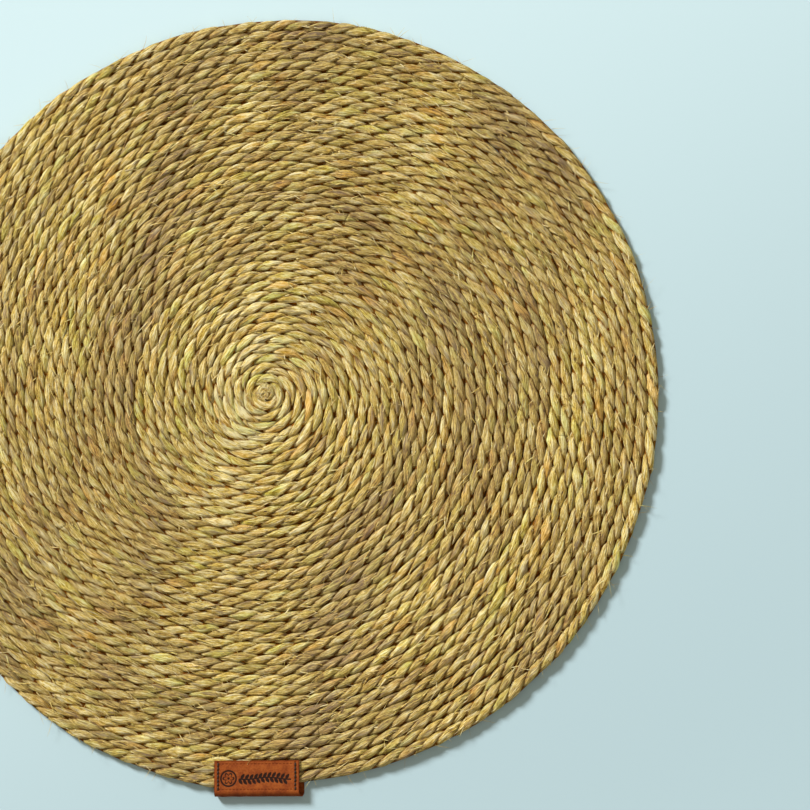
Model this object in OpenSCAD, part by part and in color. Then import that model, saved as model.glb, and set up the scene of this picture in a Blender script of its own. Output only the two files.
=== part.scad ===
// Round seat pad: one two-ply rope coiled flat into a disc, laced through its turns,
// with a leather label folded over the rim and sewn through it.
// The pad lies face up on z = 0. The middle of its box is over the origin and the label is at -Y.

/* [Coil] */
// Largest diameter of the pad, over the rope's outer end
pad_d = 380; // [340:1:420]
// Whole turns of rope from the eye to the rim
turns = 37; // [32:1:42]
// Least gap between neighbouring turns
turn_gap = 0.06; // [0.02:0.01:0.15]
// Radius of the small opening that the first turn closes round
eye_hole = 0.3; // [0.2:0.1:0.8]
// How far the eye lies off the middle of the outer turn
eye_off = 5.5; // [0:0.1:8]
// Direction in which the turns lie a little wider, counter-clockwise from +X
drift_dir = -25.5; // [-60:0.5:60]
// Direction in which the rope's outer end lies
tail_dir = 268; // [264:1:270]
// Depth by which the rope is pressed flat on each face
press = 0.15; // [0.05:0.05:0.3]

/* [Lacing] */
// Number of threads that run from the eye or near it to the rim
lacings = 8; // [4:2:8]
// Thickness of a lacing thread
lace_d = 0.8; // [0.6:0.1:1]
// Direction of the first lacing thread
lace_dir = 30; // [20:1:35]
// Distance from the eye at which every second thread starts
lace_inner = 4; // [3:0.5:6]
// Distance from the eye at which the threads between them start
lace_outer = 55; // [40:5:90]

/* [Label] */
// Width of the label along the rim
label_w = 41.5; // [30:0.5:50]
// Length of the label's front, from its fold to its edge
label_l = 17.4; // [15:0.2:22]
// Place of the middle of the label along X
label_x = -7; // [-9:0.5:-3]
// Thickness of the leather
leather_t = 1; // [0.8:0.1:1.2]
// How much further the back of the label reaches on its +X side
back_extra = 1.8; // [0.5:0.1:3]
// Depth by which the front of the label sinks into the rope
label_sink = 0.5; // [0.3:0.1:0.8]

/* [Label stitching] */
// Distance of each row of stitches from the label's side
row_inset = 1.9; // [1.5:0.1:3]
// Distance from the label's edge to the first stitch hole
row_start = 1; // [0.8:0.1:2]
// Length of one stitch
stitch_l = 1.9; // [1.5:0.1:2]
// Number of stitches in a row
stitches = 7; // [4:1:7]
// Thickness of the sewing thread
thread_d = 0.6; // [0.5:0.05:0.7]

/* [Hidden] */
LACING_NODES = [for (i = [1:lacings]) str("lacing_", i)];
LABEL_NODES = ["leather_label", "label_stitching_left", "label_stitching_right"];
$fn = 48;
// clearance round a thread or a label in the rope
slack = 0.1;
// the coil: half-turns about centres that step to and fro along drift_dir, so that each
// meets the next face to face and the turns open out evenly
drift = eye_off / turns;
pitch = (pad_d / 2 + drift / 2 + turn_gap - eye_hole) / (turns + 1 / 2);
rope_d = pitch - drift - turn_gap;
rope_r = rope_d / 2;
rope_top = rope_d - 2 * press;
rope_mid = rope_top / 2;
// the round rope is stepped in where it meets its neighbours: how high and how wide the steps are
shoulder_h = rope_top / 6;
shoulder_w = 3 / 4;
eye_r = rope_r + eye_hole;
last = 2 * turns - 1;
last_sweep = tail_dir - 180 - drift_dir;
function arc_r(k) = eye_r + floor(k / 2) * pitch + (k % 2) * (pitch + drift) / 2;
function arc_c(k) = floor(k / 2) * drift + (k % 2) * (pitch + drift) / 2;
function arc_x(k) = arc_c(k) * cos(drift_dir);
function arc_y(k) = arc_c(k) * sin(drift_dir);
// the label: its two flats lie on either side of the rope, joined by a half-round fold
label_top = rope_top - label_sink + leather_t;
fold_r = label_top / 2;
rope_bite = sqrt(rope_r ^ 2 - (rope_mid - leather_t) ^ 2) + slack;
// heights and reaches measured from the eye, then the eye's own place
reach_x = [arc_x(last) - arc_r(last) - rope_r, arc_x(last - 1) + arc_r(last - 1) + rope_r];
fold_from_eye = arc_y(last) - arc_r(last) - rope_bite;
reach_y = [fold_from_eye - fold_r, arc_y(last - 1) + arc_r(last - 1) + rope_r];
eye = [-(reach_x[0] + reach_x[1]) / 2, -(reach_y[0] + reach_y[1]) / 2, 0];
fold_y = eye.y + fold_from_eye;
label_edge_y = fold_y - fold_r + label_l;
label_left = label_x - label_w / 2;
label_right = label_x + label_w / 2;
thread_r = thread_d / 2;
hole_r = thread_r + slack;
row_y = label_edge_y - row_start;
row_l = stitches * stitch_l;
// the rim's distance from the eye in a direction, along the middle of the outermost rope
function outer_arc(a) = a < 180 ? last - 1 : a < 180 + last_sweep ? last : last - 2;
function chord(c, r, a) = c * cos(a) + sqrt(r ^ 2 - (c * sin(a)) ^ 2);
function around(dir) = (dir - drift_dir + 360) % 360;
function rim(a) = chord(arc_c(outer_arc(a)), arc_r(outer_arc(a)), a);

// one half-turn of a band that follows the rope, or the shorter last one
module half_turn(k, half_w) {
    sweep = k == last ? last_sweep : 180;
    translate([arc_x(k), arc_y(k)]) rotate(drift_dir + 180 * k) difference() {
        circle(r = arc_r(k) + half_w);
        circle(r = arc_r(k) - half_w);
        // what lies beyond the half-turn's start
        translate([-pad_d, -2 * pad_d]) square(2 * pad_d);
        // and beyond its end
        rotate(sweep) translate([-pad_d, 0]) square(2 * pad_d);
    }
}

// the whole spiral as a flat-sided band
module spiral(low, high, half_w) {
    translate([0, 0, low]) linear_extrude(high - low)
        for (k = [0:last]) half_turn(k, half_w);
}

// a lacing thread's line through the rope, or its bore when it is grown
module lace_line(i, grow) {
    dir = lace_dir + (i - 1) * 360 / lacings;
    start = (i % 2 == 1 ? lace_inner : lace_outer) - grow;
    end = rim(around(dir)) + rope_r / 2 + grow;
    translate(eye + [0, 0, rope_mid])
        rotate([0, 90, dir]) translate([0, 0, start]) cylinder(r = lace_d / 2 + grow, h = end - start);
}

// the holes that one row of stitches passes through
module row_holes(x, r, low, high) {
    for (n = [0:stitches])
        translate([x, row_y - n * stitch_l, low]) cylinder(r = r, h = high - low);
}

// the places of both rows
module at_rows() {
    for (x = [label_left + row_inset, label_right - row_inset])
        row_holes(x, hole_r, -slack, label_top + slack);
}

module rope_coil() {
    color([0.74, 0.63, 0.38]) difference() {
        translate(eye) union() {
            spiral(0, rope_top, rope_r * shoulder_w);
            spiral(shoulder_h, rope_top - shoulder_h, rope_r);
        }
        // pressed down under the label's front
        translate([label_left - slack, -pad_d, label_top - leather_t])
            cube([label_w + 2 * slack, pad_d + label_edge_y + slack, rope_d]);
        // and up above its back
        translate([label_left - slack, -pad_d, -slack])
            cube([label_w + back_extra + 2 * slack, pad_d + label_edge_y + slack, leather_t + slack]);
        for (i = [1:lacings]) lace_line(i, slack / 2);
        at_rows();
    }
}

module lacing(i) {
    color([0.82, 0.76, 0.60]) lace_line(i, 0);
}

// the strip seen along the rim: front flat, fold and back flat
module label_profile() {
    flat_l = label_edge_y - fold_y;
    translate([0, label_top - leather_t]) square([flat_l, leather_t]);
    square([flat_l, leather_t]);
    translate([0, fold_r]) difference() {
        circle(r = fold_r);
        circle(r = fold_r - leather_t);
        translate([0, -label_top]) square([label_top, 2 * label_top]);
    }
}

module leather_label() {
    // how far a groove for the thread reaches past the end holes
    groove_l = row_l + 2 * hole_r;
    color([0.60, 0.28, 0.14]) difference() {
        union() {
            translate([label_left, fold_y, 0])
                rotate([90, 0, 90]) linear_extrude(label_w) label_profile();
            translate([label_right, fold_y, 0])
                cube([back_extra, label_edge_y - fold_y, leather_t]);
        }
        at_rows();
        for (x = [label_left + row_inset, label_right - row_inset])
            translate([x - hole_r, row_y - row_l - hole_r, 0]) {
                translate([0, 0, label_top - thread_r]) cube([2 * hole_r, groove_l, thread_d]);
                translate([0, 0, -slack]) cube([2 * hole_r, groove_l, thread_d + 2 * slack]);
            }
    }
}

// one row of stitches: a run on each face, joined through the holes
module stitch_row(x) {
    color([0.20, 0.11, 0.08]) union() {
        for (z = [label_top, thread_r + slack / 2])
            translate([x, row_y + thread_r, z])
                rotate([90, 0, 0]) cylinder(r = thread_r, h = row_l + thread_d);
        row_holes(x, thread_r - slack / 2, thread_r + slack / 2, label_top);
    }
}

module label_stitching_left() stitch_row(label_left + row_inset);
module label_stitching_right() stitch_row(label_right - row_inset);

rope_coil();
for (i = [1:lacings]) lacing(i);
leather_label();
label_stitching_left();
label_stitching_right();
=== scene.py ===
import math

import bmesh
import bpy
import numpy as np
from mathutils import Matrix, Vector


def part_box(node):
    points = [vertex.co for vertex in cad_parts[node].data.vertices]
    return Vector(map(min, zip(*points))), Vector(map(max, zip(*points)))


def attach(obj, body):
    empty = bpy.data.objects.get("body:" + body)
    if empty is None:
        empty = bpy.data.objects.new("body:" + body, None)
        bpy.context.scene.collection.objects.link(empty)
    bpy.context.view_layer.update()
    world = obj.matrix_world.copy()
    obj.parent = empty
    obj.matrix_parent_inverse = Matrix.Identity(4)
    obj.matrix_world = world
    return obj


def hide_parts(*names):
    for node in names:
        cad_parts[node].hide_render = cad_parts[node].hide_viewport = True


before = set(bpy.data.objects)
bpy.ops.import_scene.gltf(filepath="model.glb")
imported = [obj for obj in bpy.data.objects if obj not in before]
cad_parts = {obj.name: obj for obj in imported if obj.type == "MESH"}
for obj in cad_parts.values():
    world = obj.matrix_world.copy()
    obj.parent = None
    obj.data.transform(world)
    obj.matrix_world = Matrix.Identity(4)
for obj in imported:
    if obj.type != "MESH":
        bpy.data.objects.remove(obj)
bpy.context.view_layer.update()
MM = 0.001
FULL_TURN = 2 * math.pi
rng = np.random.default_rng(37)

# ---------------------------------------------------------------- the frame's places and sizes
ROPE_LOW, ROPE_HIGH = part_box("rope_coil")
LABEL_LOW, LABEL_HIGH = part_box("leather_label")
ROPE_TOP = ROPE_HIGH.z
ROPE_MID = (ROPE_LOW.z + ROPE_HIGH.z) / 2
LEATHER_T = 1.0 * MM
LACINGS = 8

# a way that no fibre or thread runs, to set their sections from
NEAR_UPRIGHT = (0.21, 0.13, 0.97)

# the coil, as it is designed: half-turns about centres that step to and fro along DRIFT_DIR;
# PITCH and ROPE_R follow from the pad's radius, as they do in the CAD source, and the last
# half-turn goes on to TAIL_DIR, where the rope ends under the label
TURNS = 37
PAD_R = 190 * MM
EYE_OFF = 5.5 * MM
EYE_HOLE = 0.3 * MM
TURN_GAP = 0.06 * MM
DRIFT_DIR = math.radians(-25.5)
TAIL_DIR = math.radians(268)
DRIFT = EYE_OFF / TURNS
PITCH = (PAD_R + DRIFT / 2 + TURN_GAP - EYE_HOLE) / (TURNS + 0.5)
ROPE_R = (PITCH - DRIFT - TURN_GAP) / 2
LAST = 2 * TURNS - 1
LAST_SWEEP = TAIL_DIR - math.pi - DRIFT_DIR


def half_turn_radius(k):
    """How far the middle of the rope is from the centre of half-turn k."""
    return ROPE_R + EYE_HOLE + np.floor(k / 2) * PITCH + (k % 2) * (PITCH + DRIFT) / 2


def half_turn_centre(k):
    """How far along DRIFT_DIR from the eye the centre of half-turn k is."""
    return np.floor(k / 2) * DRIFT + (k % 2) * (PITCH + DRIFT) / 2


def eye_place():
    """The eye's place, from where the coil's box ends on the +X side and on the +Y side."""
    k = LAST - 1
    reach = half_turn_radius(k) + ROPE_R
    x = ROPE_HIGH.x - reach - half_turn_centre(k) * math.cos(DRIFT_DIR)
    y = ROPE_HIGH.y - reach - half_turn_centre(k) * math.sin(DRIFT_DIR)
    return np.array([x, y])


EYE = eye_place()

# ---------------------------------------------------------------- camera, floor and light


def aim(thing, place, target, up):
    """Turn a camera or light at place to look at target, with up as near as can be to the picture's top."""
    ahead = (Vector(target) - Vector(place)).normalized()
    right = ahead.cross(Vector(up)).normalized()
    over = right.cross(ahead)
    turn = Matrix((right, over, -ahead)).transposed()
    thing.matrix_world = Matrix.Translation(place) @ turn.to_4x4()


def make_camera():
    """The camera, at the angle and distance from which the pad's outline, eye and label fall in place."""
    data = bpy.data.cameras.new("camera")
    data.lens = 187.6
    data.sensor_width = 36
    data.clip_start = 0.05
    data.clip_end = 20
    camera = bpy.data.objects.new("camera", data)
    bpy.context.scene.collection.objects.link(camera)
    azimuth = math.radians(47.25)
    elevation = math.radians(78.75)
    distance = 2.0414
    # the point of the pad's face that the middle of the picture falls on
    target = Vector((0.0650, -0.0020, ROPE_TOP))
    back = Vector((
        math.sin(azimuth) * math.cos(elevation),
        -math.cos(azimuth) * math.cos(elevation),
        math.sin(elevation),
    ))
    aim(camera, target + back * distance, target, (0, 1, 0))
    bpy.context.scene.camera = camera


def far_light(name, place, angle, strength, colour):
    """A soft light that comes from the side of place, as bright all over the floor."""
    data = bpy.data.lights.new(name, "SUN")
    data.angle = math.radians(angle)
    data.energy = strength
    data.color = colour
    light = bpy.data.objects.new(name, data)
    bpy.context.scene.collection.objects.link(light)
    aim(light, Vector(place), Vector((0, 0, 0)), (0, 0, 1))


def make_sky():
    """A dim warm sky that fills the shadows, and a pale wall that only the camera sees."""
    world = bpy.data.worlds.new("studio")
    bpy.context.scene.world = world
    world.use_nodes = True
    tree = world.node_tree
    sky = tree.nodes["Background"]
    sky.inputs["Color"].default_value = (0.97, 0.89, 0.68, 1)
    sky.inputs["Strength"].default_value = 0.32
    wall = tree.nodes.new("ShaderNodeBackground")
    wall.inputs["Color"].default_value = (0.62, 0.83, 0.87, 1)
    seen = tree.nodes.new("ShaderNodeLightPath")
    either = tree.nodes.new("ShaderNodeMixShader")
    tree.links.new(seen.outputs["Is Camera Ray"], either.inputs[0])
    tree.links.new(sky.outputs[0], either.inputs[1])
    tree.links.new(wall.outputs[0], either.inputs[2])
    tree.links.new(either.outputs[0], tree.nodes["World Output"].inputs["Surface"])


def make_floor():
    """A plain flat sheet under the pad, wide enough for every view."""
    floor = bpy.data.meshes.new("floor")
    reach = 6.0
    corners = [(-reach, -reach, 0), (reach, -reach, 0), (reach, reach, 0), (-reach, reach, 0)]
    floor.from_pydata(corners, [], [(0, 1, 2, 3)])
    sheet = bpy.data.objects.new("floor", floor)
    bpy.context.scene.collection.objects.link(sheet)
    sheet.data.materials.append(floor_material())


# ---------------------------------------------------------------- materials


class Nodes:
    """A material's node tree, with a short way to add a node and join its inputs."""

    def __init__(self, name):
        self.material = bpy.data.materials.new(name)
        self.material.use_nodes = True
        self.tree = self.material.node_tree
        self.shader = self.tree.nodes["Principled BSDF"]

    def add(self, kind, settings=None, **inputs):
        node = self.tree.nodes.new(kind)
        for key, value in (settings or {}).items():
            setattr(node, key, value)
        for key, value in inputs.items():
            self.put(node, key, value)
        return node

    def put(self, node, key, value):
        """Set or join an input, by its name or, as i0, i1 and so on, by its number."""
        by_number = key[0] == "i" and key[1:].isdigit()
        socket = node.inputs[int(key[1:])] if by_number else node.inputs[key]
        if isinstance(value, bpy.types.NodeSocket):
            self.tree.links.new(value, socket)
        else:
            socket.default_value = value

    def shade(self, **inputs):
        """Set or join the shader's own inputs."""
        for key, value in inputs.items():
            self.put(self.shader, key.replace("_", " "), value)

    def ramp(self, value, stops):
        node = self.add("ShaderNodeValToRGB", i0=value)
        points = node.color_ramp.elements
        while len(points) < len(stops):
            points.new(0.5)
        for point, (place, colour) in zip(points, stops):
            point.position = place
            point.color = (*colour, 1)
        return node.outputs["Color"]

    def mix(self, amount, first, second, blend="MIX"):
        """Mix two colours; the node's colour sockets are its numbers 6 and 7, and its output 2."""
        node = self.add("ShaderNodeMix", {"data_type": "RGBA", "blend_type": blend})
        for number, value in ((0, amount), (6, first), (7, second)):
            self.put(node, f"i{number}", (*value, 1) if isinstance(value, tuple) else value)
        return node.outputs[2]

    def remap(self, value, low, high, to_low, to_high, kind="LINEAR"):
        """Take a value from the range low to high to the range to_low to to_high, and no further."""
        settings = {"interpolation_type": kind}
        node = self.add("ShaderNodeMapRange", settings, i0=value, i1=low, i2=high, i3=to_low, i4=to_high)
        return node.outputs[0]

    def weigh(self, parts, base):
        """A weighted sum of values, on top of a base."""
        total = base
        for value, weight in parts:
            total = self.add("ShaderNodeMath", {"operation": "MULTIPLY_ADD"}, i0=value, i1=weight, i2=total)
            total = total.outputs[0]
        return total

    def attribute(self, name, output="Vector"):
        return self.add("ShaderNodeAttribute", {"attribute_name": name}).outputs[output]

    def noise(self, place, scale, detail=2, roughness=0.5):
        node = self.add("ShaderNodeTexNoise", Vector=place, Scale=scale, Detail=detail, Roughness=roughness)
        return node.outputs["Fac"]

    def stretch(self, place, scale):
        return self.add("ShaderNodeMapping", Vector=place, Scale=scale).outputs["Vector"]

    def bump(self, height, strength, distance):
        """Relief too fine for the mesh; distance is how deep it is where height changes by 1."""
        node = self.add("ShaderNodeBump", Height=height, Strength=strength, Distance=distance)
        self.put(self.shader, "Normal", node.outputs["Normal"])


def floor_material():
    """Pale blue with painted light and shade: paler behind the pad's left, falling off slowly to darker in
    front of its right.
    """
    nodes = Nodes("pale_floor")
    place = nodes.add("ShaderNodeNewGeometry").outputs["Position"]
    across = nodes.add("ShaderNodeVectorMath", {"operation": "DOT_PRODUCT"}, i0=place, i1=(0.5, -0.87, 0))
    # painted light and shade: a slow falloff across the floor
    fall = nodes.remap(across.outputs["Value"], -0.26, 0.26, 0, 1, "SMOOTHSTEP")
    colour = nodes.mix(fall, (0.598, 0.780, 0.862), (0.424, 0.568, 0.640))
    nodes.shade(Base_Color=colour, Roughness=0.9, Specular_IOR_Level=0.1)
    return nodes.material


# colours from the darkest tone to the palest
STRAW = [
    (0.00, (0.066, 0.023, 0.003)),
    (0.14, (0.210, 0.097, 0.009)),
    (0.30, (0.435, 0.266, 0.031)),
    (0.46, (0.625, 0.433, 0.076)),
    (0.62, (0.745, 0.543, 0.128)),
    (0.80, (0.855, 0.672, 0.248)),
    (1.00, (0.950, 0.840, 0.475)),
]

# what the parts of the grass's tone add up to on average, less the tone that is wanted
MEAN_TONE = 2.018

LEATHER = [
    (0.00, (0.110, 0.023, 0.006)),
    (0.35, (0.230, 0.049, 0.010)),
    (0.60, (0.312, 0.076, 0.014)),
    (1.00, (0.415, 0.130, 0.026)),
]


def grass_material(name, lift):
    """Dry grass fibre: streaks run along each ply, and patches of colour follow it.

    The fibre attribute is a place in millimetres: along the ply first, and then round it.
    """
    nodes = Nodes(name)
    place = nodes.attribute("fibre")
    fine = nodes.noise(nodes.stretch(place, (0.12, 1, 1)), 3.6, 3, 0.7)
    streak = nodes.noise(nodes.stretch(place, (0.14, 1, 1)), 1.5, 3, 0.65)
    patch = nodes.noise(nodes.stretch(place, (0.12, 0.25, 0.25)), 1.0, 3, 0.6)
    tint = nodes.noise(nodes.stretch(place, (0.035, 0.10, 0.10)), 1.0, 2, 0.55)
    grey = nodes.noise(nodes.stretch(place, (0.09, 0.45, 0.45)), 1.0, 2, 0.5)
    batch = nodes.attribute("batch", "Fac")
    # single flat blades of grass, each of its own tone, with dark cracks between them
    blade_place = nodes.stretch(place, (0.075, 1, 1))
    blade = nodes.add("ShaderNodeTexVoronoi", Vector=blade_place, Scale=1.25).outputs["Color"]
    edge = nodes.add("ShaderNodeTexVoronoi", {"feature": "DISTANCE_TO_EDGE"}, Vector=blade_place, Scale=1.25)
    crack = nodes.remap(edge.outputs["Distance"], 0.0, 0.16, 0.0, 1.0)
    own = nodes.add("ShaderNodeSeparateColor", Color=blade).outputs[0]
    parts = ((fine, 2.0), (streak, 1.5), (patch, 1.0), (batch, 1.0), (own, 0.38), (crack, 0.26))
    tone = nodes.weigh(parts, lift - MEAN_TONE)
    colour = nodes.ramp(tone, STRAW)
    greener = nodes.remap(tint, 0.52, 0.68, 0, 0.85)
    colour = nodes.mix(greener, colour, (0.84, 0.98, 0.60), "MULTIPLY")
    redder = nodes.remap(tint, 0.44, 0.30, 0, 0.85)
    colour = nodes.mix(redder, colour, (1.0, 0.74, 0.42), "MULTIPLY")
    # the darker grass is also the greyer
    dull = nodes.remap(batch, 0.16, -0.20, 0, 0.52)
    colour = nodes.mix(dull, colour, (0.370, 0.285, 0.190))
    weathered = nodes.remap(grey, 0.575, 0.70, 0, 0.66)
    colour = nodes.mix(weathered, colour, (0.30, 0.215, 0.150))
    bleached = nodes.remap(grey, 0.40, 0.26, 0, 0.45)
    colour = nodes.mix(bleached, colour, (0.82, 0.73, 0.45))
    # painted shade, darkest deep between the plies, where the turns meet, on the core and at the tip
    painted_shade = nodes.attribute("painted_shade", "Fac")
    colour = nodes.mix(painted_shade, colour, (0.38, 0.18, 0.015), "MULTIPLY")
    nodes.shade(
        Base_Color=colour,
        Roughness=nodes.remap(fine, 0.3, 0.7, 0.80, 0.5),
        Specular_IOR_Level=0.16,
    )
    height = nodes.weigh(((fine, 0.6), (streak, 0.9), (crack, 0.30)), 0)
    nodes.bump(height, 1.0, 1.0 * MM)
    return nodes.material


def leather_material():
    """Orange-brown leather, mottled, with fine grain, burnt marks, edges darkened with use, and painted
    shade round the fold.
    """
    nodes = Nodes("label_leather")
    place = nodes.attribute("hide")
    cloud = nodes.noise(place, 0.22, 4, 0.6)
    mottle = nodes.noise(place, 1.1, 4, 0.65)
    tone = nodes.weigh(((cloud, 1.2), (mottle, 0.9)), -0.55)
    colour = nodes.ramp(tone, LEATHER)
    # darker with use at the edges, lines and holes, and painted shade round the fold
    wear_and_fold_shade = nodes.attribute("wear_and_fold_shade", "Fac")
    worn_and_shaded = nodes.weigh(((wear_and_fold_shade, 1.0), (mottle, 0.6)), -0.30)
    colour = nodes.mix(worn_and_shaded, colour, (0.62, 0.50, 0.45), "MULTIPLY")
    burn = nodes.attribute("burn", "Fac")
    colour = nodes.mix(burn, colour, (0.022, 0.009, 0.006))
    pores = nodes.add("ShaderNodeTexVoronoi", {"feature": "DISTANCE_TO_EDGE"}, Vector=place, Scale=1.9)
    grain = nodes.remap(pores.outputs["Distance"], 0.0, 0.12, 0.0, 1.0)
    fine = nodes.noise(place, 5.0, 3, 0.6)
    nodes.shade(
        Base_Color=colour,
        Roughness=nodes.remap(mottle, 0.3, 0.7, 0.80, 0.60),
        Specular_IOR_Level=0.10,
    )
    height = nodes.weigh(((grain, 0.35), (fine, 0.6), (mottle, 0.8)), 0)
    nodes.bump(height, 0.7, 0.18 * MM)
    return nodes.material


def thread_material(name, dark, light):
    """Twisted thread: fine slanting fibres and small changes of tone."""
    nodes = Nodes(name)
    place = nodes.add("ShaderNodeNewGeometry").outputs["Position"]
    slant = nodes.add("ShaderNodeMapping", Vector=place, Rotation=(0.5, 0.3, 0.8), Scale=(900, 5200, 5200))
    fibre = nodes.noise(slant.outputs["Vector"], 1.0, 3, 0.6)
    cloud = nodes.noise(place, 420, 3, 0.6)
    tone = nodes.weigh(((fibre, 1.3), (cloud, 0.9)), -0.6)
    nodes.shade(
        Base_Color=nodes.ramp(tone, [(0, dark), (1, light)]),
        Roughness=nodes.remap(fibre, 0.3, 0.7, 0.75, 0.5),
        Specular_IOR_Level=0.35,
    )
    nodes.bump(fibre, 0.6, 0.08 * MM)
    return nodes.material


# ---------------------------------------------------------------- mesh helpers


def new_piece(name, corners, quads, material, node, attributes):
    """A mesh of quads (a triangle repeats its last corner) that rides on the body in place of a node."""
    mesh = bpy.data.meshes.new(name)
    triangle = quads[:, 2] == quads[:, 3]
    keep = np.ones(quads.shape, bool)
    keep[triangle, 3] = False
    loops = quads[keep]
    sizes = np.where(triangle, 3, 4)
    starts = np.concatenate(([0], np.cumsum(sizes)[:-1]))
    mesh.vertices.add(len(corners))
    mesh.vertices.foreach_set("co", corners.astype(np.float32).ravel())
    mesh.loops.add(len(loops))
    mesh.loops.foreach_set("vertex_index", loops.astype(np.int32))
    mesh.polygons.add(len(quads))
    mesh.polygons.foreach_set("loop_start", starts.astype(np.int32))
    mesh.polygons.foreach_set("loop_total", sizes.astype(np.int32))
    mesh.polygons.foreach_set("use_smooth", np.ones(len(quads), bool))
    for key, values in attributes.items():
        values = np.asarray(values, np.float32)
        if values.ndim == 2:
            mesh.attributes.new(key, "FLOAT_VECTOR", "POINT").data.foreach_set("vector", values.ravel())
        else:
            mesh.attributes.new(key, "FLOAT", "POINT").data.foreach_set("value", values)
    mesh.update(calc_edges=True)
    mesh.validate()
    mesh.materials.append(material)
    piece = bpy.data.objects.new(name, mesh)
    bpy.context.scene.collection.objects.link(piece)
    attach(piece, "root")
    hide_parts(node)
    return piece


def tube_quads(rings, sides):
    """The side faces of a tube whose rings follow each other in the list of corners."""
    ring, side = np.meshgrid(np.arange(rings - 1), np.arange(sides), indexing="ij")
    here = ring * sides + side
    beside = ring * sides + (side + 1) % sides
    return np.stack([here, beside, beside + sides, here + sides], -1).reshape(-1, 4)


def end_quads(ring_start, sides, centre, facing_start):
    """A fan that closes a tube's end."""
    side = np.arange(sides)
    here = ring_start + side
    beside = ring_start + (side + 1) % sides
    centre = np.full(sides, centre)
    first, second = (beside, here) if facing_start else (here, beside)
    return np.stack([first, second, centre, centre], -1)


def many_tubes(paths, radii, sides, flat=1.0):
    """Closed tubes round many paths of equally many points: their corners and faces."""
    count, rings = paths.shape[:2]
    ahead = np.gradient(paths, axis=1)
    ahead /= np.linalg.norm(ahead, axis=2, keepdims=True)
    side = np.cross(ahead, NEAR_UPRIGHT)
    side /= np.linalg.norm(side, axis=2, keepdims=True)
    over = np.cross(ahead, side)
    around = np.arange(sides)[:, None] * FULL_TURN / sides
    ring = np.cos(around) * side[:, :, None] + flat * np.sin(around) * over[:, :, None]
    shell = paths[:, :, None] + radii[..., None, None] * ring
    corners = np.concatenate([shell.reshape(count, -1, 3), paths[:, [0, -1]]], 1)
    one = np.concatenate([
        tube_quads(rings, sides),
        end_quads(0, sides, rings * sides, True),
        end_quads((rings - 1) * sides, sides, rings * sides + 1, False),
    ])
    quads = one + (np.arange(count) * corners.shape[1])[:, None, None]
    return corners.reshape(-1, 3), quads.reshape(-1, 4)


def ease(x):
    """A smooth step: 0 up to x = 0, and 1 from x = 1 on."""
    x = np.clip(x, 0, 1)
    return x * x * (3 - 2 * x)


def smooth_noise(along, spacing, size):
    """Random values that change smoothly along a length, mostly within twice size of 0."""
    knots = rng.standard_normal(int(along.max() / spacing) + 3)
    at = along / spacing
    low = np.floor(at).astype(int)
    part = ease(at - low)
    return (knots[low] * (1 - part) + knots[low + 1] * part) * size


def sway(points, waves, size):
    """A smooth random field over the pad, much the same for a turn and its neighbours."""
    total = np.zeros(len(points))
    for wavelength in waves:
        direction = rng.uniform(0, FULL_TURN)
        wave = np.array([math.cos(direction), math.sin(direction)]) * FULL_TURN / wavelength
        total += np.sin(points @ wave + rng.uniform(0, FULL_TURN))
    return total * size / math.sqrt(len(waves))


# ---------------------------------------------------------------- the rope

RING_STEP = 1.1 * MM
RING_SIDES = 20
ROPE_PARTS = 12

# the length of one turn of the two plies round each other, and of the fibres round a ply
LAY = 20.4 * MM
FIBRE_LAY = 19 * MM

# a ply is an ellipse that lies off the rope's middle; both together fill a circle, which is
# then widened until neighbouring turns touch
PLY_OFF = 1.12 * MM
PLY_THICK = 1.46 * MM
PLY_WIDE = 1.98 * MM
ENVELOPE_R = PLY_OFF + PLY_THICK
SPREAD = 1.06

# a ply's ridges: how many there are round it, and how high they are against its size
RIDGES = ((3, 0.045), (5, 0.065), (7, 0.055))

CORE_WIDE = 2.7 * MM
CORE_THICK = 0.75 * MM
CORE_SIDES = 8
CORE_PARTS = 2

# the rope's tip is tucked down into the eye
TUCK_R = 1.35 * MM
TIP_DIP = 1.1 * MM
TIP_LONG = 6.5 * MM

# how the grass's pattern is laid on each strand, in millimetres of the pattern
PATTERN_R = 1.8
STRAND_SHIFT = 40000


def rope_path():
    """Points along the middle of the rope, the way outwards at each, and the length so far."""
    k = np.arange(LAST + 1)
    sweep = np.full(LAST + 1, math.pi)
    sweep[-1] = LAST_SWEEP
    # the tip is tucked into the eye in a tight half-turn of its own
    radius = np.concatenate(([TUCK_R], half_turn_radius(k)))
    centre = np.concatenate(([half_turn_radius(0) - TUCK_R], half_turn_centre(k)))
    sweep = np.concatenate(([math.pi], sweep))
    starts = np.concatenate(([0], np.cumsum(radius * sweep)))
    along = np.linspace(0, starts[-1], int(starts[-1] / RING_STEP))
    arc = np.clip(np.searchsorted(starts, along, "right") - 1, 0, len(radius) - 1)
    turned = DRIFT_DIR + math.pi * (arc - 1) + (along - starts[arc]) / radius[arc]
    out = np.stack([np.cos(turned), np.sin(turned)], -1)
    axis = np.array([math.cos(DRIFT_DIR), math.sin(DRIFT_DIR)])
    points = EYE + centre[arc, None] * axis + radius[arc, None] * out
    return points, out, along


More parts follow.
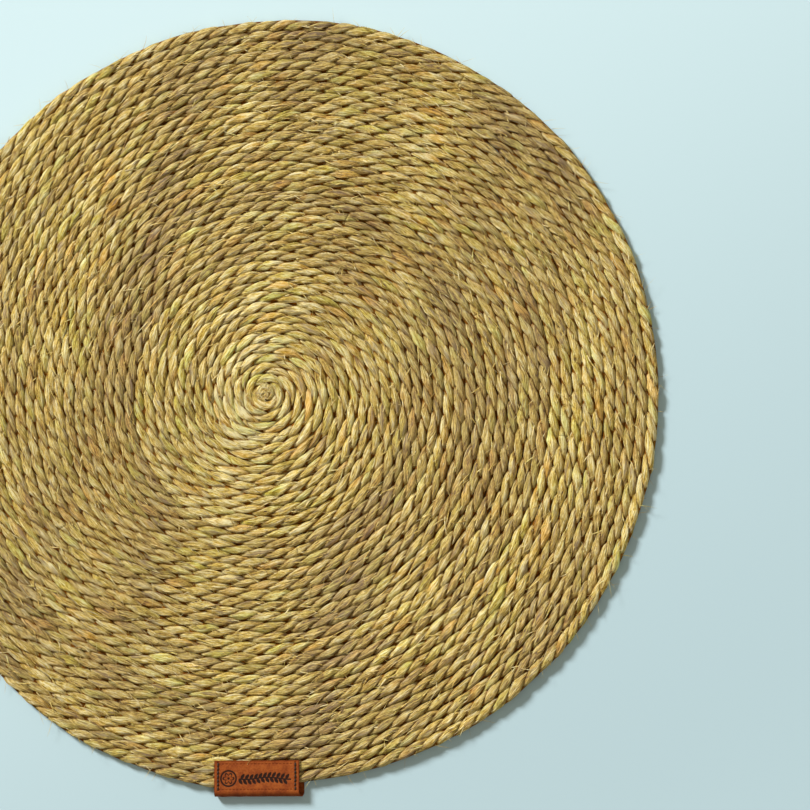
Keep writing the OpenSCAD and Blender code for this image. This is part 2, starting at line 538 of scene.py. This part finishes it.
def rope_lines():
    """The rope's middle with its small unevenness, and how it twists along its length.

    The last three say how far the plies have turned, how thick the rope is against its usual
    size, and how much of that one ply takes from the other.
    """
    points, out, along = rope_path()
    aside = sway(points, (46 * MM, 61 * MM, 83 * MM, 120 * MM), 0.26 * MM)
    aside += smooth_noise(along, 7 * MM, 0.07 * MM)
    # the first turns are too tight to stray
    aside *= ease((along - 12 * MM) / (40 * MM))
    rise = sway(points, (50 * MM, 70 * MM, 90 * MM), 0.10 * MM)
    rise += smooth_noise(along, 9 * MM, 0.05 * MM)
    rise -= TIP_DIP * (1 - ease(along / TIP_LONG))
    middle = np.empty((len(points), 3))
    middle[:, :2] = points + out * aside[:, None]
    middle[:, 2] = ROPE_MID + rise
    turn = -FULL_TURN * along / LAY
    turn += smooth_noise(along, 70 * MM, 0.8)
    turn += smooth_noise(along, 17 * MM, 0.28)
    size = 1 + smooth_noise(along, 30 * MM, 0.03)
    size += smooth_noise(along, 9 * MM, 0.02)
    # the tip is thinner, and grows to the rope's size over its tight half-turn
    size *= 0.6 + 0.4 * ease(along / (TUCK_R * math.pi * 1.2))
    share = smooth_noise(along, 14 * MM, 0.09)
    return middle, out, along, turn, size, share


def under_label(points):
    """From 0 to 1, how much a point of the pad is squeezed by the label."""
    edge = 3 * MM
    side = np.minimum(points[..., 0] - LABEL_LOW.x, LABEL_HIGH.x - points[..., 0])
    inner = LABEL_HIGH.y - points[..., 1]
    return ease(side / edge + 1) * ease(inner / edge + 1)


def press_flat(points):
    """Keep the rope between the faces of the pad, and between the flaps under the label."""
    held = under_label(points)
    middle = ROPE_MID + held * (LABEL_HIGH.z - ROPE_TOP) / 2
    limit = (ROPE_TOP / 2 + 0.06 * MM) * (1 - held) + (LABEL_HIGH.z / 2 - LEATHER_T) * held
    rise = points[..., 2] - middle
    sharpness = 8
    rise /= (1 + np.abs(rise / limit) ** sharpness) ** (1 / sharpness)
    points[..., 2] = np.maximum(middle + rise, 0.02 * MM)
    return points


def pattern_places(along, fibre_turn, strand):
    """Where each point lies in the grass's pattern: along the strand first, and then round it."""
    places = np.empty((len(along), fibre_turn.shape[1], 3))
    places[..., 0] = along[:, None] / MM + strand * STRAND_SHIFT
    places[..., 1] = np.cos(fibre_turn) * PATTERN_R
    places[..., 2] = np.sin(fibre_turn) * PATTERN_R
    return places


def ply_ridges(along, fibre_turn):
    """How much a ply's bundles of fibre swell it or pinch it, as a factor on its size."""
    ridge = 1 + smooth_noise(along, 5 * MM, 0.02)[:, None]
    for lobes, height in RIDGES:
        drift = smooth_noise(along, 14 * MM, 1.4)[:, None] + rng.uniform(0, FULL_TURN)
        strength = height * (1 + smooth_noise(along, 7 * MM, 0.6)[:, None])
        ridge = ridge + strength * np.cos(lobes * fibre_turn + drift)
    return ridge


def ply(which, lines):
    """One ply's rings: points, places in the grass's pattern, and how much painted shade each gets for lying
    deep in the rope's crevices.
    """
    middle, out, along, turn, size, share = lines
    turn = (turn + which * math.pi)[:, None]
    around = math.pi + np.arange(RING_SIDES) * FULL_TURN / RING_SIDES
    own_size = size * (1 + share * (1 if which else -1))
    thick = PLY_THICK * own_size * (1 + smooth_noise(along, 6 * MM, 0.08))
    wide = PLY_WIDE * own_size * (1 + smooth_noise(along, 8 * MM, 0.07))
    offset = PLY_OFF * size * (1 + smooth_noise(along, 9 * MM, 0.04))
    fibre_turn = around - along[:, None] * FULL_TURN / FIBRE_LAY
    ridge = ply_ridges(along, fibre_turn)
    # the ellipse, along its offset from the rope's middle and across it, and then turned
    away = offset[:, None] + np.cos(around) * thick[:, None] * ridge
    across = np.sin(around) * wide[:, None] * ridge
    aside = np.cos(turn) * away - np.sin(turn) * across
    rise = np.sin(turn) * away + np.cos(turn) * across
    points = np.empty(away.shape + (3,))
    points[..., :2] = middle[:, None, :2] - out[:, None, :] * aside[..., None] * SPREAD
    points[..., 2] = middle[:, None, 2] + rise * (ROPE_TOP / 2 / ENVELOPE_R)
    # painted shade: darker between the plies, at the sides where the turns meet, and at the tucked tip in
    # the eye
    deep = 1 - np.hypot(away, across) / ENVELOPE_R
    low = 1 - np.abs(rise) / ENVELOPE_R
    painted_shade = np.clip((deep - 0.16) * 1.7 + np.maximum(low - 0.55, 0) * 1.2, 0, 1)
    painted_shade = np.maximum(painted_shade, (1 - ease(along / TIP_LONG))[:, None])
    return press_flat(points), pattern_places(along, fibre_turn, which), painted_shade


def core(lines):
    """The flat bundle of fibres in the middle of the rope, seen only down the gaps, and darkened all over
    with painted shade.
    """
    middle, out, along, _, size, _ = (line[::2] for line in lines)
    around = np.arange(CORE_SIDES)[None, :] * FULL_TURN / CORE_SIDES
    aside = np.cos(around) * CORE_WIDE * size[:, None]
    points = np.empty(aside.shape + (3,))
    points[..., :2] = middle[:, None, :2] - out[:, None, :] * aside[..., None]
    points[..., 2] = middle[:, None, 2] + np.sin(around) * CORE_THICK
    # painted shade at full strength on the whole core
    return press_flat(points), pattern_places(along, around, 2), np.ones(aside.shape)


def batch_tone(along, points):
    """How much paler or darker the grass is: a pale heart, and slow changes from there on."""
    from_eye = np.hypot(points[:, 0] - EYE[0], points[:, 1] - EYE[1])
    tone = 0.14 * (1 - ease((from_eye - 30 * MM) / (60 * MM)))
    tone += smooth_noise(along, 300 * MM, 0.07)
    tone += sway(points[:, :2], (50 * MM, 90 * MM, 150 * MM), 0.075)
    return tone


def rope_pieces(name, strand, batch, parts, material):
    """Cut one strand of the rope into closed pieces along its length."""
    points, places, painted_shade = strand
    sides = points.shape[1]
    cuts = np.linspace(0, len(points) - 1, parts + 1).astype(int)
    for number in range(parts):
        here = slice(cuts[number], cuts[number + 1] + 1)
        rings = points[here]
        shell = rings.reshape(-1, 3)
        corners = np.concatenate([shell, rings[[0, -1]].mean(1)])
        quads = np.concatenate([
            tube_quads(len(rings), sides),
            end_quads(0, sides, len(shell), True),
            end_quads(len(shell) - sides, sides, len(shell) + 1, False),
        ])
        tags = {
            "fibre": np.concatenate([places[here].reshape(-1, 3), places[here][[0, -1], 0]]),
            "painted_shade": np.concatenate([painted_shade[here].ravel(), [1, 1]]),
            "batch": np.concatenate([np.repeat(batch[here], sides), batch[here][[0, -1]]]),
        }
        new_piece(f"{name}_{number + 1}", corners, quads, material, "rope_coil", tags)


def make_rope(material):
    """Both plies and the core; gives back the rope's middle line and the way outwards along it."""
    lines = rope_lines()
    middle, out, along = lines[:3]
    batch = batch_tone(along, middle)
    rope_pieces("rope_ply_a", ply(0, lines), batch, ROPE_PARTS, material)
    rope_pieces("rope_ply_b", ply(1, lines), batch, ROPE_PARTS, material)
    rope_pieces("rope_core_painted_shade", core(lines), batch[::2], CORE_PARTS, material)
    return middle, out


# ---------------------------------------------------------------- loose fibres

HAIR_RINGS = 7
HAIR_SIDES = 4
RIM_HAIRS = 150
EYE_FIBRES = 44
SHORTEST_HAIR = 2 * MM
# fibres on the faces come loose this far either side of the rope's middle
ON_TOP = 1.3 * MM
# the higher this is, the more alike the lengths of the fibres are
LENGTH_SHAPE = 4.0


def random_lengths(mean, count):
    """Lengths round a mean, a few of them much longer."""
    return rng.gamma(LENGTH_SHAPE, mean / LENGTH_SHAPE, count)


def make_hairs(name, starts, headings, rises, lengths, radius_range, flat, material):
    """Loose fibres or split blades that leave the rope at their starts, and bend as they go.

    Headings are the ways they set out over the pad, and rises the angles at which they leave it.
    """
    count = len(starts)
    part = np.linspace(0, 1, HAIR_RINGS)
    heading = headings[:, None] + part * rng.normal(0, 0.3, count)[:, None]
    step = lengths[:, None] / (HAIR_RINGS - 1)
    paths = np.empty((count, HAIR_RINGS, 3))
    for axis, run in enumerate((np.cos(heading), np.sin(heading))):
        paths[..., axis] = starts[:, axis, None] + (np.cumsum(run, 1) - run[:, :1]) * step
    droop = rng.uniform(0.7, 1.1, count)[:, None]
    rise = np.sin(rises)[:, None] * lengths[:, None] * (part - droop * part**2)
    paths[..., 2] = np.maximum(starts[:, 2, None] + rise, 0.15 * MM)
    # thin at the root, thickest a quarter of the way along, and thinnest at the tip
    taper = (0.35 + 0.65 * ease(part * 4)) * (1 - 0.85 * part**2)
    radii = rng.uniform(*radius_range, count)[:, None] * taper
    corners, quads = many_tubes(paths, radii, HAIR_SIDES, flat)
    # each hair has a short stretch of its own somewhere in the grass's pattern
    places = np.empty((count, len(corners) // count, 3))
    run = np.concatenate([np.repeat(part, HAIR_SIDES), [0, 1]])
    places[..., 0] = rng.uniform(0, 9000, count)[:, None] + run * 8
    places[..., 1:] = rng.uniform(-2, 2, (count, 1, 2))
    tags = {"fibre": places.reshape(-1, 3)}
    new_piece(name, corners, quads, material, "rope_coil", tags)


def spots_on_rope(count, rope, first, aside_range):
    """Random places on the rope clear of the label, how far aside of its middle, and the way outwards."""
    middle, out = rope
    pick = rng.integers(first, len(middle), count)
    aside = rng.uniform(*aside_range, count)
    spots = middle[pick, :2] + out[pick] * aside[:, None]
    clear = under_label(spots) == 0
    outwards = np.arctan2(out[pick, 1], out[pick, 0])
    return spots[clear], aside[clear], outwards[clear]


def face_hairs(name, rope, material, count, height, fall, rise, longer, spread, radius_range, flat):
    """Fibres that come loose from a face of the rope and lie more or less along it.

    The places they start from drop by fall from the rope's middle to its side, and longer is how
    much longer they are than the shortest on average.
    """
    spots, aside, outwards = spots_on_rope(count, rope, 0, (-ON_TOP, ON_TOP))
    count = len(spots)
    heading = outwards + math.pi / 2
    heading += rng.choice([0, math.pi], count)
    heading += rng.normal(0, spread, count)
    level = height + rng.uniform(-0.15, 0.1, count) * MM - fall * (aside / ON_TOP) ** 2
    rises = (np.abs(rng.normal(0, 1, count)) + 0.4) * rise
    lengths = SHORTEST_HAIR + random_lengths(longer, count)
    starts = np.column_stack([spots, level])
    make_hairs(name, starts, heading, rises, lengths, radius_range, flat, material)


def eye_hairs(material):
    """Short fibres laid every way over the eye."""
    starts = np.empty((EYE_FIBRES, 3))
    starts[:, :2] = EYE + rng.normal(0, 2.0, (EYE_FIBRES, 2)) * MM
    starts[:, 2] = ROPE_TOP - 0.35 * MM
    heading = rng.uniform(0, FULL_TURN, EYE_FIBRES)
    lengths = rng.uniform(2.5, 5.5, EYE_FIBRES) * MM
    rises = rng.uniform(0.02, 0.12, EYE_FIBRES)
    radius_range = (0.12 * MM, 0.32 * MM)
    make_hairs("eye_fibres", starts, heading, rises, lengths, radius_range, 0.4, material)


def rim_hairs(rope, material):
    """Fibres that stand out from the outermost turn."""
    last_turn = len(rope[0]) - int(FULL_TURN * PAD_R / RING_STEP)
    spots, _, outwards = spots_on_rope(RIM_HAIRS, rope, last_turn, (0.8 * MM, 1.4 * MM))
    count = len(spots)
    heading = outwards + rng.choice([-1, 1], count) * rng.uniform(0.1, 1.35, count)
    starts = np.column_stack([spots, rng.uniform(1.4, 3.4, count) * MM])
    lengths = np.minimum(3.5 * MM + random_lengths(3.6 * MM, count), 10 * MM)
    rises = rng.uniform(0, 0.35, count)
    radius_range = (0.05 * MM, 0.12 * MM)
    make_hairs("loose_fibres_rim", starts, heading, rises, lengths, radius_range, 1.0, material)


def make_all_hairs(rope, material):
    """Fine fibres and flat split blades on the pad's face, and fibres underneath, at the eye and the rim."""
    face_hairs(
        "loose_fibres_top", rope, material,
        count=1900, height=ROPE_TOP - 0.30 * MM, fall=0.4 * MM, rise=0.16,
        longer=4.6 * MM, spread=0.6, radius_range=(0.06 * MM, 0.14 * MM), flat=1.0,
    )
    face_hairs(
        "split_blades_top", rope, material,
        count=3300, height=ROPE_TOP - 0.40 * MM, fall=0.4 * MM, rise=0.13,
        longer=4.0 * MM, spread=0.28, radius_range=(0.16 * MM, 0.38 * MM), flat=0.3,
    )
    face_hairs(
        "loose_fibres_underside", rope, material,
        count=500, height=0.30 * MM, fall=-0.2 * MM, rise=0.0,
        longer=5.2 * MM, spread=0.5, radius_range=(0.05 * MM, 0.12 * MM), flat=1.0,
    )
    eye_hairs(material)
    rim_hairs(rope, material)


# ---------------------------------------------------------------- the leather label

LABEL_GRID = 0.2 * MM
EDGE_R = 0.34 * MM
FRONT_WIDE = 41.5 * MM
BACK_WIDE = LABEL_HIGH.x - LABEL_LOW.x

# the strip of leather, along its middle: a flap, half a turn round the pad's edge, and a flap
FOLD_R = (LABEL_HIGH.z - LEATHER_T) / 2
FOLD_Y = LABEL_LOW.y + LABEL_HIGH.z / 2
FOLD_Z = LABEL_HIGH.z / 2
FLAP_LONG = LABEL_HIGH.y - FOLD_Y
FOLD_LONG = math.pi * FOLD_R
STRIP_LONG = 2 * FLAP_LONG + FOLD_LONG

STITCH_IN = 1.9 * MM
STITCH_PITCH = 1.9 * MM
STITCH_LONG = 1.3 * MM
STITCH_RINGS = 15
FIRST_HOLE = 1.0 * MM
HOLES = 8
THREAD_R = 0.24 * MM
STRAND_OFF = 0.7 * THREAD_R
STITCH_LEAN = 0.16 * MM

LINE_IN = 1.7 * MM
DASH_PITCH = 1.75 * MM
DASH_LONG = 0.9 * MM

# how deep each mark lies in the leather; the back's stitches lie the deeper, clear of the floor
ROW_DEEP = 0.12 * MM
ROW_DEEPER_BEHIND = 0.20 * MM
HOLE_DEEP = 0.25 * MM
LINE_DEEP = 0.16 * MM
BURN_DEEP = 0.13 * MM
WAVE_DEEP = 0.02 * MM
CREASE_DEEP = 0.03 * MM

# the burnt marks, from the middle of the front flap
MARKS_UP = 1.2 * MM
RING_X = -13.7 * MM
RING_R = 3.7 * MM
SPRIG_X = -8.2 * MM
SPRIG_LONG = 24.8 * MM
SPRIG_SWAY = 0.5 * MM
SPRIG_BEND = 3.4 * MM
LEAF_PAIRS = 11
LEAF_LONG = 3.0 * MM
LEAF_WIDE = 0.68 * MM
LEAF_SHIFT = 0.5 * MM
LEAF_TURN = 0.95
BURN_SOFT = 0.2 * MM


def grid_line(length):
    """Places along or across the strip, closer together near both edges, which are rounded."""
    near = np.array([0, 0.02, 0.07, 0.16]) * MM
    count = int((length - 2 * EDGE_R) / LABEL_GRID)
    return np.concatenate([near, np.linspace(EDGE_R, length - EDGE_R, count), (length - near)[::-1]])


def fade(distance, half_width, soft):
    """1 within half_width of a mark, falling to 0 a little outside."""
    return 1 - ease((distance - half_width) / soft)


def round_the_fold(along):
    """0 on the front flap and 1 on the back, with a smooth change round the fold."""
    return ease((along - FLAP_LONG) / FOLD_LONG)


def from_ends(along):
    """How far a place is from the nearer end of the strip."""
    return np.minimum(along, STRIP_LONG - along)


def from_fold(along):
    """How far a place is from the middle of the fold, as a share of the fold's length."""
    return np.abs(along - STRIP_LONG / 2) / FOLD_LONG


def leaf(x, y, angle):
    """How far a place lies outside a pointed leaf that starts at 0, 0; negative inside."""
    run = x * math.cos(angle) + y * math.sin(angle)
    over = -x * math.sin(angle) + y * math.cos(angle)
    part = np.clip(run / LEAF_LONG, 0, 1)
    outside = np.abs(over) - LEAF_WIDE * np.sin(math.pi * part) ** 0.8
    return np.hypot(outside, run - part * LEAF_LONG) * np.where(outside < 0, -1, 1)


def burnt_rosette(x, y):
    """A ring, six petals in it and a dot in their middle."""
    reach = np.hypot(x, y)
    petal = 1.0 * MM + 1.6 * MM * np.abs(np.cos(3 * np.arctan2(y, x))) ** 0.7
    ring = fade(np.abs(reach - RING_R), 0.32 * MM, BURN_SOFT)
    petals = fade(np.abs(reach - petal), 0.26 * MM, BURN_SOFT)
    dot = fade(reach, 0.5 * MM, BURN_SOFT)
    return np.maximum(np.maximum(ring, petals), dot)


def burnt_sprig(x, y):
    """A wavy stem with pairs of leaves all along it."""
    stem_x = np.clip(x, SPRIG_X, SPRIG_X + SPRIG_LONG)
    stem_y = SPRIG_SWAY * np.sin(stem_x / SPRIG_BEND)
    mark = fade(np.hypot(x - stem_x, y - stem_y), 0.26 * MM, BURN_SOFT)
    for root_x in np.linspace(SPRIG_X, SPRIG_X + SPRIG_LONG - LEAF_LONG, LEAF_PAIRS):
        root_y = SPRIG_SWAY * math.sin(root_x / SPRIG_BEND)
        for way in (-1, 1):
            outside = leaf(x - root_x - way * LEAF_SHIFT, y - root_y, way * LEAF_TURN)
            mark = np.maximum(mark, fade(outside, 0.0, 0.22 * MM))
    return mark


def burnt_marks(along, across):
    """1 where the front flap is burnt: a rosette in a ring at the left, and a leafy sprig."""
    x = across - FRONT_WIDE / 2
    y = np.broadcast_to(FLAP_LONG / 2 + MARKS_UP - along, x.shape)
    mark = np.maximum(burnt_rosette(x - RING_X, y), burnt_sprig(x, y))
    return mark * (1 - round_the_fold(along))


def from_stitches(along, across):
    """How far each place is from the rows of stitches, and from the nearest hole."""
    past_end = from_ends(along)
    from_row = np.minimum(np.abs(across - STITCH_IN), np.abs(across - FRONT_WIDE + STITCH_IN))
    last_hole = FIRST_HOLE + (HOLES - 1) * STITCH_PITCH
    past_row = past_end - np.clip(past_end, FIRST_HOLE, last_hole)
    number = np.clip(np.round((past_end - FIRST_HOLE) / STITCH_PITCH), 0, HOLES - 1)
    past_hole = past_end - FIRST_HOLE - number * STITCH_PITCH
    return np.hypot(from_row, past_row), np.hypot(from_row, past_hole)


def pressed_lines(along, across):
    """1 on the dashed lines pressed into the leather, near both ends of the strip and at the fold."""
    to_line = np.minimum(np.abs(from_ends(along) - LINE_IN), np.abs(along - FLAP_LONG + LINE_IN / 2))
    to_dash = np.abs((across / DASH_PITCH) % 1 - 0.5) * DASH_PITCH
    between_rows = np.minimum(across, FRONT_WIDE - across) > STITCH_IN + 0.6 * MM
    return fade(to_line, 0.16 * MM, 0.18 * MM) * fade(to_dash, DASH_LONG / 2, 0.2 * MM) * between_rows


def soft_waves(along, across):
    """Slight random waves over the whole strip."""
    total = np.zeros(across.shape)
    for _ in range(7):
        way = rng.uniform(0, math.pi)
        length = rng.uniform(4, 14) * MM
        wave = across * math.cos(way) + along * math.sin(way)
        total += 1 + np.sin(wave * FULL_TURN / length + rng.uniform(0, FULL_TURN))
    return total


def fold_creases(along, across):
    """Fine creases that run across the strip round the middle of the fold."""
    creases = np.sin(along * FULL_TURN / (0.9 * MM) + 1.5 * np.sin(across / (2.1 * MM)))
    return (1 - ease(from_fold(along) * 2.4)) * (1 + creases)


def fold_strip(along, across, away):
    """Places in the folded label, away outwards from the middle of the leather."""
    angle = np.clip((along - FLAP_LONG) / FOLD_R, 0, math.pi)
    behind = np.maximum(along - FLAP_LONG - FOLD_LONG, 0)
    before = np.maximum(FLAP_LONG - along, 0)
    points = np.empty(across.shape + (3,))
    points[..., 0] = LABEL_LOW.x + across
    points[..., 1] = FOLD_Y + before + behind - np.sin(angle) * (FOLD_R + away)
    points[..., 2] = FOLD_Z + np.cos(angle) * (FOLD_R + away)
    return points.reshape(-1, 3)


def strip_places():
    """A grid on the strip: how far along it and across it each place is, and how far from an edge."""
    along = grid_line(STRIP_LONG)[:, None]
    wide = FRONT_WIDE + (BACK_WIDE - FRONT_WIDE) * round_the_fold(along)
    across = grid_line(FRONT_WIDE) / FRONT_WIDE * wide
    from_side = np.minimum(across, wide - across)
    return along, across, np.minimum(from_side, from_ends(along))


def hide_places(along, across):
    """Where each corner lies in the leather's pattern, in millimetres, on the outer and the inner face."""
    inner_shift = 7
    places = np.empty((2,) + across.shape + (3,))
    places[..., 0] = across / MM
    places[..., 1] = along / MM
    places[..., 2] = np.array([0, inner_shift])[:, None, None]
    return places.reshape(-1, 3)


def make_label():
    """One strip of leather, folded round the pad's edge, with pressed lines, holes and burnt marks.

    Rows of corners follow each other along the strip, from the front flap's end to the back flap's.
    """
    along, across, from_edge = strip_places()
    to_row, to_hole = from_stitches(along, across)
    line = pressed_lines(along, across)
    burn = burnt_marks(along, across)
    row_deep = ROW_DEEP + ROW_DEEPER_BEHIND * round_the_fold(along)
    sink = fade(to_row, 0.25 * MM, 0.45 * MM) * row_deep
    sink += fade(to_hole, 0.18 * MM, 0.30 * MM) * HOLE_DEEP
    sink += line * LINE_DEEP
    sink += burn * BURN_DEEP
    sink += soft_waves(along, across) * WAVE_DEEP
    sink += fold_creases(along, across) * CREASE_DEEP
    # the leather's edges are rounded, and the marks stop where they round off
    half = LEATHER_T / 2 * (1 - np.clip(1 - from_edge / EDGE_R, 0, 1) ** 3) ** (1 / 3)
    outer = fold_strip(along, across, half - sink * (half > 0.4 * MM))
    inner = fold_strip(along, across, -half)
    corners = np.concatenate([outer, inner])
    corners[:, 2] = np.maximum(corners[:, 2], 0)
    # darker with use at the edges, in the pressed lines and at the holes, and painted shade round the fold
    wear_and_fold_shade = np.maximum(fade(from_edge, 0.15 * MM, 0.7 * MM), 0.85 * (1 - ease(from_fold(along) * 1.15)))
    wear_and_fold_shade = np.maximum(wear_and_fold_shade, line)
    wear_and_fold_shade = np.maximum(wear_and_fold_shade, fade(to_hole, 0.2 * MM, 0.3 * MM))
    tags = {
        "hide": hide_places(along, across),
        "burn": np.concatenate([burn.ravel(), np.zeros(burn.size)]),
        "wear_and_fold_shade": np.concatenate([wear_and_fold_shade.ravel(), wear_and_fold_shade.ravel()]),
    }
    quads = two_faces(*across.shape)
    material = leather_material()
    label = new_piece("label_hide", corners, quads, material, "leather_label", tags)
    merge_seams(label)


def two_faces(rows, columns):
    """The quads of the strip's outer face, and those of its inner one, which look the other way."""
    row, column = np.meshgrid(np.arange(rows - 1), np.arange(columns - 1), indexing="ij")
    here = row * columns + column
    face = np.stack([here, here + columns, here + columns + 1, here + 1], -1).reshape(-1, 4)
    return np.concatenate([face, face[:, ::-1] + rows * columns])


def merge_seams(piece):
    """Join the corners that two faces of a piece share at its edges."""
    mesh = bmesh.new()
    mesh.from_mesh(piece.data)
    bmesh.ops.remove_doubles(mesh, verts=mesh.verts, dist=0.002 * MM)
    mesh.to_mesh(piece.data)
    mesh.free()


# ---------------------------------------------------------------- threads


def make_stitches(node, material):
    """A row of stitches seen on both flaps, each of two strands that dip into the holes."""
    low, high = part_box(node)
    row_x = (low.x + high.x) / 2
    part = np.linspace(0, 1, STITCH_RINGS)
    arch = np.sin(math.pi * part) ** 0.55
    paths = []
    for number in range(HOLES - 1):
        hole_y = LABEL_HIGH.y - FIRST_HOLE - number * STITCH_PITCH
        y = hole_y - (STITCH_PITCH - STITCH_LONG) / 2 - part * STITCH_LONG
        for front in (True, False):
            lean = STITCH_LEAN * (0.5 - part) + rng.normal(0, 0.03) * MM
            # from inside one hole to inside the next, and out to the leather's face between them
            if front:
                z = LABEL_HIGH.z - 0.55 * MM + (0.60 + rng.normal(0, 0.03)) * MM * arch
            else:
                z = LEATHER_T - 0.62 * MM * arch
            for strand in (0, math.pi):
                twist = strand + part * FULL_TURN * 0.9 + number
                x = row_x + lean + np.cos(twist) * STRAND_OFF
                paths.append(np.column_stack([x, y, z + np.sin(twist) * STRAND_OFF]))
    paths = np.array(paths)
    radii = np.full(paths.shape[:2], THREAD_R)
    corners, quads = many_tubes(paths, radii, 8)
    name = node.replace("label_stitching", "thread")
    new_piece(name, corners, quads, material, node, {})


def finish_lacings():
    """The lacing keeps its CAD shape, and gets its thread."""
    material = thread_material("lacing_thread", (0.10, 0.055, 0.020), (0.34, 0.22, 0.09))
    for number in range(1, LACINGS + 1):
        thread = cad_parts[f"lacing_{number}"]
        thread.data.materials.clear()
        thread.data.materials.append(material)


# ---------------------------------------------------------------- the scene

make_camera()
make_sky()
far_light("key", place=(-2.3, 2.3, 1.95), angle=14, strength=4.9, colour=(1.0, 0.985, 0.95))
far_light("fill", place=(1.3, -1.1, 1.4), angle=40, strength=0.45, colour=(1.0, 0.98, 0.93))
make_floor()
rope_line = make_rope(grass_material("grass_rope", 0.0))
make_all_hairs(rope_line, grass_material("loose_grass", 0.08))
make_label()
sewing = thread_material("sewing_thread", (0.012, 0.008, 0.006), (0.060, 0.038, 0.028))
make_stitches("label_stitching_left", sewing)
make_stitches("label_stitching_right", sewing)
finish_lacings()
bpy.context.scene.view_settings.view_transform = "Standard"
